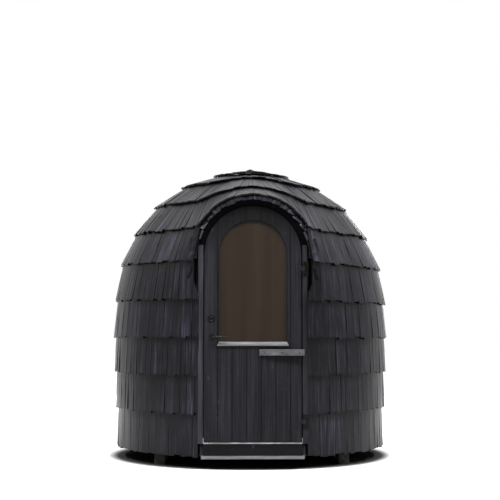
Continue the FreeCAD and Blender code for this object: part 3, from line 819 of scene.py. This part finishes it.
def lipRow():
    # short shakes that hang from the hood's edge, over the crown and down the wings
    tip = hoodLip["tipRadius"]
    arch = []
    for angle in archAngles:
        turn = math.radians(angle)
        butt = Vector((tip * math.cos(turn), hoodLip["tipFace"],
                       dome["springing"] + tip * math.sin(turn)))
        arch.append((butt, guide.find_nearest(setBehind(angle, hoodLip["cover"]))[0]))
    split = round(dome["lineSteps"] * (90 - hoodLip["wingAngle"]) / 90)
    wing = arch[split:]
    foot = Vector(hoodLip["wingTip"])
    last = wing[-1][0]
    topCover, footCover = (Vector(cover) for cover in hoodLip["wingCovers"])
    for step in range(1, hoodLip["wingSteps"] + 1):
        butt = last.lerp(foot, step / hoodLip["wingSteps"])
        cover = topCover.lerp(footCover, min(step / 3, 1))
        wing.append((butt, guide.find_nearest(butt + cover)[0]))
    return arch[:split + 1], wing


def wedgeRow():
    # one low shake between the post and the dark wedge under the hood
    foot = dome["rings"][4][1]
    edges = zip((dome["doorEdge"], dome["wedgeEdge"]), dome["wedgeTops"])
    return [[onGuide(azimuthAt(across, height), height) for height in (foot, top)]
            for across, top in edges]


def soffitRow():
    # boards of the hood's underside, from behind the lip back into the dome
    deep, less = hoodLip["soffitBack"]
    return [(setBehind(angle, hoodLip["soffitFront"]),
             hoodPoint(angle, deep - less * math.sin(math.radians(angle))))
            for angle in archAngles]


def skirtRow():
    # a plain row behind the lowest course
    return [(butt, butt.lerp(top, 0.4)) for butt, top in courses[0]]


# what each course has of its own, from the skirt up
courseStyles = (
    {}, {}, {},
    {"wide": 0.105},
    {"wide": 0.08},
    {"narrow": 0.036, "wide": 0.1},
    {"wide": 0.07},
    {"wide": 0.08},
    {"wide": 0.07, "lift": 0.022},
    {"wide": 0.06, "lift": 0.014, "jag": 0.006, "butt": 0.012},
)
lipStyle = {
    "lap": 0.0, "lift": 0.016, "butt": 0.009, "thin": 0.006, "jag": 0.010, "jagOut": 0.1,
    "proud": 0.002, "narrow": 0.05, "wide": 0.085, "louvre": 30, "louvreRun": 0.8,
}
rowStyles = {
    "skirt": {"lap": 0.0, "lift": 0.003, "depth": 0.0145},
    "wedge": {"lap": 0.0, "lift": 0.006, "jag": 0.003, "proud": 0.002},
    "cap": {"lap": 0.0, "narrow": 0.035, "wide": 0.06, "lift": 0.008, "jag": 0.003, "butt": 0.009},
    "lip": lipStyle,
    "wing": {**lipStyle, "depth": 0.018, "lift": 0.004, "louvre": 0},
    "soffit": {"lap": 0.0, "lift": 0.0, "depth": 0.031, "butt": 0.009, "thin": 0.009, "jagOut": 0.1,
               "narrow": 0.06, "wide": 0.1},
}


def dressDome():
    # course by course, then the hood's edge and underside
    hoodBands = {7: ["hood_shingles_lip"], 8: ["hood_shingles_back"]}
    for number, style in enumerate(courseStyles, 1):
        rows = [(courses[number - 1], style)]
        if number == 1:
            rows.insert(0, (skirtRow(), rowStyles["skirt"]))
        if number == 5:
            rows.append((wedgeRow(), rowStyles["wedge"]))
        if number == 10:
            rows.append((courses[10], rowStyles["cap"]))
        nodes = [f"shingle_course_{number:02d}"] + hoodBands.get(number, [])
        layCourse(f"shakes{number:02d}", 10 + number, nodes, *rows)
    arch, wing = lipRow()
    layCourse("hoodLipShakes", 21, ["hood_arch"], (arch, rowStyles["lip"]), (wing, rowStyles["wing"]),
              (soffitRow(), rowStyles["soffit"]))


dressDome()


peak = {
    "foot": 0.034,
    "tip": 0.003,
    "height": 0.012,
    "bevel": 0.001,
}


def addPeak():
    # the last shakes meet under a small turned point
    mesh = bmesh.new()
    height = peak["height"]
    place = Matrix.Translation((0, 0, dome["peak"] - height / 2))
    bmesh.ops.create_cone(mesh, cap_ends=True, segments=20, radius1=peak["foot"],
                          radius2=peak["tip"], depth=height, matrix=place)
    keepPiece(mesh, "peakCap", "hoodShadeAndPeakStain", "cabin", bevel=peak["bevel"])


addPeak()
print("shakes laid")

cheek = {
    "inner": 0.440,
    "thickness": 0.020,
    "topRun": 0.27,
    "footRun": 0.15,
    "setback": 0.035,
    "bevel": 0.0015,
}


def addCheek(name, side, node):
    # a board that closes the side of the hood, well behind the shakes
    mesh = bmesh.new()
    addBlock(mesh)
    footY, footZ = dome["cheekFoot"][1:]
    slope = (dome["backRadius"] - dome["lipRadius"]) / dome["backRun"]
    for vertex in mesh.verts:
        outer, back, up = vertex.co
        front = (dome["lipFace"] if up else footY) + cheek["setback"]
        run = cheek["topRun"] if up else cheek["footRun"]
        x = cheek["inner"] + outer * cheek["thickness"] + back * run * slope
        vertex.co = (side * x, front + back * run, dome["springing"] if up else footZ)
    bmesh.ops.recalc_face_normals(mesh, faces=mesh.faces)
    # its near-black stain is painted shade under the hood
    keepPiece(mesh, name, "hoodShadeAndPeakStain", "cabin", [node], cheek["bevel"])


addCheek("cheekLeft", -1, "hood_cheek_left")
addCheek("cheekRight", 1, "hood_cheek_right")
print("cheeks fitted")


def softCopy(name, node, body, slot, bevel, reshape=None, segments=2):
    # a node's own mesh, merged, shaped a little and with its edges eased
    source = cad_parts[node]
    mesh = bmesh.new()
    mesh.from_mesh(source.data)
    bmesh.ops.remove_doubles(mesh, verts=mesh.verts, dist=0.00001)
    bmesh.ops.dissolve_limit(mesh, angle_limit=math.radians(1), verts=mesh.verts, edges=mesh.edges)
    if reshape:
        reshape(mesh)
    finish = source.material_slots[0].material.name
    keepPiece(mesh, name, finish, body, [node], bevel, segments, angle=30)


joinery = {
    "outer": 0.430,
    "faceOuter": 0.415,  # the shakes lap over the outer edge of the posts
    "opening": 0.372,
    "faceOpening": 0.377,
    "stepDepth": (-1.000, -0.998),
    "postTop": 1.690,  # the posts run up past the springing of the arch
    "headFace": -1.052,  # the head stands back in the hood's shadow
    "edgeBand": 0.003,  # a corner this near an edge moves with it
    "topBand": 1.61,
    "headBand": -1.08,
    "footingBand": -1.04,
    "footingEdge": 0.390,
}


def easePost(mesh):
    for depth in joinery["stepDepth"]:
        bmesh.ops.bisect_plane(mesh, geom=mesh.verts[:] + mesh.edges[:] + mesh.faces[:], dist=0.000001,
                               plane_co=(0, depth, 0), plane_no=(0, 1, 0))
    for vertex in mesh.verts:
        if vertex.co.y > joinery["stepDepth"][0] + 0.001:
            continue
        for edge, moved in (("outer", "faceOuter"), ("opening", "faceOpening")):
            if abs(abs(vertex.co.x) - joinery[edge]) < joinery["edgeBand"]:
                vertex.co.x = math.copysign(joinery[moved], vertex.co.x)
        if vertex.co.z > joinery["topBand"]:
            vertex.co.z = joinery["postTop"]


def setBackHead(mesh):
    for vertex in mesh.verts:
        if vertex.co.y < joinery["headBand"]:
            vertex.co.y = joinery["headFace"]


def narrowFooting(mesh):
    # the footing under the door ends behind the shakes
    for vertex in mesh.verts:
        if vertex.co.y < joinery["footingBand"]:
            vertex.co.x = math.copysign(joinery["footingEdge"], vertex.co.x)


# name, node, body, slot, width of the eased edges, and what else is done to the copy
softPieces = (
    ("footingTimber", "floor_rim", "cabin", "ground_timber", 0.001, narrowFooting),
    ("deckBoards", "floor_deck", "cabin", "pale_lining", 0.001, narrowFooting),
    ("leafBoards", "door_boards_outer", "door", "stained_boards", 0.0018),
    ("postLeft", "jamb_left", "cabin", "stained_boards", 0.002, easePost),
    ("postRight", "jamb_right", "cabin", "stained_boards", 0.002, easePost),
    ("archHead", "frame_head", "cabin", "stained_boards", 0.0015, setBackHead),
    ("sillBoard", "sill_board", "cabin", "stained_boards", 0.003),
    ("bottomStrip", "sill_strip", "cabin", "weathered_batten", 0.002),
    ("skidPair", "skids", "cabin", "ground_timber", 0.004),
    ("thresholdPlate", "threshold_bar", "cabin", "threshold_metal", 0.0015),
    ("doorBatten", "stop_batten", "door", "weathered_batten", 0.0025),
    ("hingeFramePlates", "hinge_frame_plates", "cabin", "black_metal", 0.0006),
    ("hingeLeafPlates", "hinge_leaf_plates", "door", "black_metal", 0.0006),
    ("outsideHandle", "outside_lever", "lever", "black_metal", 0.0035, None, 3),
    ("insideHandle", "inside_lever", "lever", "black_metal", 0.0035, None, 3),
)
for softPiece in softPieces:
    softCopy(*softPiece)
print("frame and trims eased")

bead = {
    "outer": 0.2612,
    "inner": 0.2545,
    "back": -1.0731,
    "front": -1.0855,
    "slope": 0.0025,  # the bead is thinner towards the glass
    "foot": 0.9490,
    "bar": 0.0110,
    "springing": 1.6200,
    "steps": 40,
    "overlap": 0.001,  # the bar's ends run into the bead, and its face lies behind it
    "bevel": 0.001,
}


def only(items, kind):
    return [item for item in items if isinstance(item, kind)]


def drawUp(mesh, edges, rise):
    made = bmesh.ops.extrude_edge_only(mesh, edges=edges)["geom"]
    points = only(made, bmesh.types.BMVert)
    bmesh.ops.translate(mesh, verts=points, vec=(0, 0, rise))
    return points, [edge for edge in only(made, bmesh.types.BMEdge)
                    if all(vertex in points for vertex in edge.verts)]


def addGlazingBead():
    # up one side of the glass, over the arch and down, with a bar along the bottom
    mesh = bmesh.new()
    outer, inner = bead["outer"], bead["inner"]
    back, front = bead["back"], bead["front"]
    foot, springing = bead["foot"], bead["springing"]
    section = [(outer, back), (outer, front), (inner, front + bead["slope"]), (inner, back)]
    corners = [mesh.verts.new((-x, y, foot)) for x, y in section]
    profile = [mesh.edges.new((corners[i], corners[(i + 1) % 4])) for i in range(4)]
    mesh.faces.new(corners)
    points, edges = drawUp(mesh, profile, springing - foot)
    last = bmesh.ops.spin(mesh, geom=points + edges, cent=(0, 0, springing), axis=(0, 1, 0),
                          angle=math.pi, steps=bead["steps"])["geom_last"]
    drawUp(mesh, only(last, bmesh.types.BMEdge), foot - springing)
    bmesh.ops.holes_fill(mesh, edges=[edge for edge in mesh.edges if edge.is_boundary], sides=4)
    overlap = bead["overlap"]
    addBlock(mesh, (-inner - overlap, front + overlap, foot),
             (inner + overlap, back - overlap, foot + bead["bar"]))
    bmesh.ops.recalc_face_normals(mesh, faces=mesh.faces)
    keepPiece(mesh, "glazingBead", "beadStain", "door", ["window_bead_outer"],
              bead["bevel"])


addGlazingBead()
print("bead fitted")


dripEnds = {
    "topBand": 0.002,  # a corner this near the top belongs to the back edge
    "endShare": 0.955,
    "bevel": 0.0015,
}


def mitreBead(mesh):
    # the bead slopes forward, and its ends are cut back towards the glass
    top = max(vertex.co.z for vertex in mesh.verts)
    for vertex in mesh.verts:
        if vertex.co.z > top - dripEnds["topBand"]:
            vertex.co.x *= dripEnds["endShare"]


softCopy("dripBead", "window_drip_bead", "door", "grey_bead", dripEnds["bevel"], mitreBead)

thresholdEnds = {
    "low": (0.3722, -1.0885, 0.195),  # corners of the right one
    "high": (0.3764, -1.052, 0.233),
    "bevel": 0.0008,
}


def addThresholdEnds():
    mesh = bmesh.new()
    (inner, front, bottom), (outer, back, top) = thresholdEnds["low"], thresholdEnds["high"]
    for side in (-1, 1):
        addBlock(mesh, (side * inner, front, bottom), (side * outer, back, top))
    keepPiece(mesh, "thresholdEnds", "thresholdMetal", "cabin",
              bevel=thresholdEnds["bevel"])


addThresholdEnds()


def turnPlate(mesh, centre, face, outward, profile):
    # a round plate on the door, turned from its half section of radius and height
    x, z = centre
    points = [mesh.verts.new((x + radius, face + outward * height, z)) for radius, height in profile]
    edges = [mesh.edges.new(pair) for pair in zip(points, points[1:])]
    bmesh.ops.spin(mesh, geom=points + edges, cent=(x, face, z), axis=(0, 1, 0), angle=math.tau,
                   steps=furniture["steps"], use_merge=True)


furniture = {
    "leafFaces": ((-1.090, -1), (-1.050, 1)),
    "lockPlace": (-0.312, 1.135),
    "lockProfile": [(0.029, 0), (0.029, 0.0035), (0.0275, 0.0060), (0.0245, 0.0074),
                    (0.0200, 0.0070), (0.0180, 0.0045), (0.0125, 0.0045), (0.0115, 0.0076),
                    (0.0085, 0.0079), (0.0055, 0.0060), (0.0, 0.0060)],
    "leverPlace": (-0.305, 0.994),
    "leverProfile": [(0.026, 0), (0.026, 0.0035), (0.0245, 0.0060), (0.0215, 0.0074), (0.0160, 0.0066),
                     (0.0125, 0.0078), (0.0, 0.0078)],
    "steps": 40,
}


def addRosettes(name, place, profile, node):
    mesh = bmesh.new()
    for face, outward in furniture["leafFaces"]:
        turnPlate(mesh, furniture[place], face, outward, furniture[profile])
    bmesh.ops.remove_doubles(mesh, verts=mesh.verts, dist=0.00001)
    bmesh.ops.recalc_face_normals(mesh, faces=mesh.faces)
    for face in mesh.faces:
        face.smooth = True
    keepPiece(mesh, name, "blackMetal", "door", [node])


addRosettes("lockPlates", "lockPlace", "lockProfile", "lock_rosettes")
addRosettes("leverPlates", "leverPlace", "leverProfile", "lever_rosettes")

screws = {
    "head": 0.0045,
    "headTop": 0.65,  # share of its width
    "depth": 0.0022,
    "bevel": 0.0004,
    "frameRow": 0.410,
    "leafRow": 0.343,
    "hingeHeights": (1.475, 1.509, 1.543, 0.321, 0.355, 0.389),
    "plateFace": -1.0935,
    "battenFace": -1.135,
    "battenPlaces": ((0.085, 0.8755), (0.219, 0.8755), (0.352, 0.8755)),
}


def addScrews(name, body, places, face):
    mesh = bmesh.new()
    head = screws["head"]
    for x, z in places:
        turned = Matrix.Translation((x, face, z)) @ Matrix.Rotation(math.radians(90), 4, "X")
        bmesh.ops.create_cone(mesh, cap_ends=True, segments=14, radius1=head,
                              radius2=head * screws["headTop"], depth=screws["depth"],
                              matrix=turned)
    keepPiece(mesh, name, "blackMetal", body, bevel=screws["bevel"])


hingeScrews = (("hingeFrameScrews", "cabin", "frameRow"), ("hingeLeafScrews", "door", "leafRow"))
for screwName, screwBody, row in hingeScrews:
    rowPlaces = [(screws[row], z) for z in screws["hingeHeights"]]
    addScrews(screwName, screwBody, rowPlaces, screws["plateFace"])
addScrews("battenScrews", "door", screws["battenPlaces"], screws["battenFace"])
print("ironwork fitted")

studio = {
    "floorSize": 80,
    "floorDrop": 0.0005,
    "floorColour": 0.40,
    "floorSeen": 1.75,  # the colour that the camera sees
    "floorMirrored": 0.80,  # and the one that reflections show
    "paintedFootShadow": 0.06,  # and, as a painted shadow, the one under the cabin
    "paintedShadowReach": (1.09, 1.28),
    "glowReach": (1.6, 3.2),  # beyond this the floor runs into the white of the backdrop
    "worldStrength": 0.13,
    "aim": (0, 0, 1.2),
    "key": {"place": (0.5, -4.6, 7.2), "size": (4.0, 1.6), "power": 600},
    "left": {"place": (-5.1, -3.4, 6.3), "size": (2.4, 1.3), "power": 560},
    "right": {"place": (5.2, -3.3, 6.2), "size": (2.4, 1.3), "power": 580},
    "back": {"place": (0.5, 8.5, 2.4), "size": (6.0, 3.0), "power": 380},
}
backdropRays = ("Is Camera Ray", "Is Glossy Ray", "Is Transmission Ray")


def makeFloorMaterial():
    material = bpy.data.materials.new("studioFloor")
    material.use_nodes = True
    graph = Graph(material.node_tree)
    graph.nodes.remove(graph.nodes["Principled BSDF"])
    distance = graph.vectorMaths("LENGTH", graph.objectCoordinates())
    # painted shadow: the floor that the camera sees darkens towards the cabin's foot
    foot = graph.spread(distance, studio["paintedFootShadow"], studio["floorSeen"],
                        *studio["paintedShadowReach"], kind="SMOOTHSTEP")
    seen = graph.anyRay("Is Camera Ray", "Is Transmission Ray")
    tone = graph.spread(seen, studio["floorColour"], foot)
    colour = graph.spread(graph.anyRay("Is Glossy Ray"), tone, studio["floorMirrored"])
    far = graph.spread(distance, 0.0, 1.0, *studio["glowReach"])
    shown = graph.maths("MULTIPLY", far, graph.anyRay(*backdropRays))
    matt = graph.add("BsdfDiffuse", {"Color": colour}).outputs[0]
    glow = graph.add("Emission", {"Strength": shown}).outputs[0]
    total = graph.add("AddShader", {0: matt, 1: glow}).outputs[0]
    graph.feed(graph.nodes["Material Output"].inputs["Surface"], total)
    return material


def addFloor():
    mesh = bmesh.new()
    bmesh.ops.create_grid(mesh, x_segments=1, y_segments=1, size=studio["floorSize"] / 2,
                          matrix=Matrix.Translation((0, 0, -studio["floorDrop"])))
    floor = meshObject(mesh, "studioFloor", makeFloorMaterial())


def addWorld():
    world = bpy.data.worlds.new("studioWorld")
    scene.world = world
    world.use_nodes = True
    graph = Graph(world.node_tree)
    light = graph.nodes["Background"]
    light.inputs["Color"].default_value = (1, 1, 1, 1)
    strength = graph.spread(graph.anyRay(*backdropRays), studio["worldStrength"], 1.0)
    graph.feed(light.inputs["Strength"], strength)


def addSoftLight(name):
    settings = studio[name]
    data = bpy.data.lights.new(name + "Light", "AREA")
    data.shape = "RECTANGLE"
    data.size, data.size_y = settings["size"]
    data.energy = settings["power"]
    light = addObject(name + "Light", data)
    light.location = settings["place"]
    aim = Vector(studio["aim"]) - Vector(settings["place"])
    light.rotation_euler = aim.to_track_quat("-Z", "Y").to_euler()


addFloor()
addWorld()
for lightName in ("key", "left", "right", "back"):
    addSoftLight(lightName)
scene.view_settings.view_transform = "Standard"
print("studio lit")
